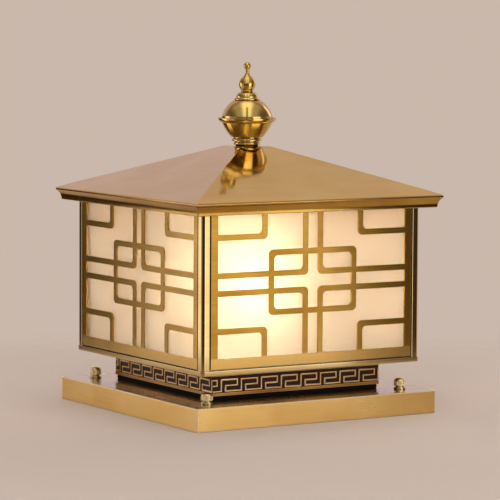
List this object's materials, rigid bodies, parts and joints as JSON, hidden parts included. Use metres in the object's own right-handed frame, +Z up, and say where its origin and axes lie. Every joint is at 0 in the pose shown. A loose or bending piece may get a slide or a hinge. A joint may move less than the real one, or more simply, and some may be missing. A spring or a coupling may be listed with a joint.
{
  "type": "pillar light",
  "caption": "Square brass pillar lantern: pyramid roof with a turned finial, rounded lattice over frosted panes, Greek key neck and a flat base held down by knurled cap nuts.",
  "frame": {"origin": "centre of the underside, on the plane that stands on the pillar", "axes": "+Z up the middle through the finial; -Y is the front wall and -X the left wall, and all four walls are alike"},
  "size_m": [0.3, 0.3, 0.3661],
  "materials": {
    "satin_brass": "brushed satin under clear lacquer",
    "polished_brass": "polished and lacquered",
    "lattice_brass": "antique satin under clear lacquer",
    "key_brass": "etched key pattern, dark patina in the ground",
    "zinc_steel": "zinc plated",
    "black_rubber": "moulded EPDM, matt",
    "frosted_glass": "acid-etched on the inside",
    "bulb_glass": "warm white inner coating, lit",
    "ceramic": "glazed white",
    "contact_brass": "bare, nickel free",
    "cap_aluminium": "rolled thread",
    "black_nylon": "moulded nylon",
    "block_plastic": "moulded",
    "brown_lead": "extruded insulation",
    "earth_lead": "extruded insulation"
  },
  "bodies": {
    "lantern": {"mounting_plate": "zinc_steel", "base_cover": "satin_brass", "stud_washers": "polished_brass", "neck_gasket": "black_rubber", "neck_box": "lattice_brass", "neck_bolts": "zinc_steel", "frieze_front": "key_brass", "frieze_right": "key_brass", "frieze_back": "key_brass", "frieze_left": "key_brass", "lantern_floor": "zinc_steel", "bottom_frame": "satin_brass", "top_frame": "satin_brass", "corner_post_front_left": "satin_brass", "corner_post_front_right": "satin_brass", "corner_post_back_right": "satin_brass", "corner_post_back_left": "satin_brass", "lattice_front": "lattice_brass", "lattice_right": "lattice_brass", "lattice_back": "lattice_brass", "lattice_left": "lattice_brass", "pane_front": "frosted_glass", "pane_right": "frosted_glass", "pane_back": "frosted_glass", "pane_left": "frosted_glass", "glazing_clips": "zinc_steel", "clip_screws": "zinc_steel", "crossbar": "zinc_steel", "crossbar_screws": "zinc_steel", "finial_rod": "zinc_steel", "rod_nuts": "zinc_steel", "roof_seal": "black_rubber", "holder_bracket": "zinc_steel", "holder_screws": "zinc_steel", "lampholder": "ceramic", "holder_contacts": "contact_brass", "cable_gland": "black_nylon", "terminal_block": "block_plastic", "terminal_inserts": "contact_brass", "lamp_leads": "brown_lead", "earth_lead": "earth_lead", "earth_terminal": "contact_brass"},
    "roof": {"roof_shell": "satin_brass", "soffit_frame": "lattice_brass", "rest_frame": "zinc_steel", "apex_plate": "zinc_steel"},
    "finial": {"finial_washer": "black_rubber", "finial_collar": "polished_brass", "finial_bowl": "polished_brass", "finial_rim": "polished_brass", "finial_dome": "polished_brass", "finial_bead": "polished_brass", "finial_tip": "polished_brass"},
    "bulb": {"bulb_glass": "bulb_glass", "bulb_cap": "cap_aluminium"},
    "nut_front_left": {"cap_nut_front_left": "polished_brass"},
    "nut_front_right": {"cap_nut_front_right": "polished_brass"},
    "nut_back_right": {"cap_nut_back_right": "polished_brass"},
    "nut_back_left": {"cap_nut_back_left": "polished_brass"}
  },
  "joints": [
    {"name": "roof_lift", "type": "slide", "parent": "lantern", "child": "roof", "axis": [0, 0, 1], "range_m": [0, 0.13]},
    {"name": "finial_turn", "type": "hinge", "parent": "roof", "child": "finial", "pos_m": [0, 0, 0.2787], "axis": [0, 0, 1], "continuous": true},
    {"name": "bulb_turn", "type": "hinge", "parent": "lantern", "child": "bulb", "pos_m": [0, 0, 0.0715], "axis": [0, 0, 1], "continuous": true},
    {"name": "nut_front_left_turn", "type": "hinge", "parent": "lantern", "child": "nut_front_left", "pos_m": [-0.118, -0.118, 0.0252], "axis": [0, 0, 1], "continuous": true},
    {"name": "nut_front_right_turn", "type": "hinge", "parent": "lantern", "child": "nut_front_right", "pos_m": [0.118, -0.118, 0.0252], "axis": [0, 0, 1], "continuous": true},
    {"name": "nut_back_right_turn", "type": "hinge", "parent": "lantern", "child": "nut_back_right", "pos_m": [0.118, 0.118, 0.0252], "axis": [0, 0, 1], "continuous": true},
    {"name": "nut_back_left_turn", "type": "hinge", "parent": "lantern", "child": "nut_back_left", "pos_m": [-0.118, 0.118, 0.0252], "axis": [0, 0, 1], "continuous": true}
  ]
}
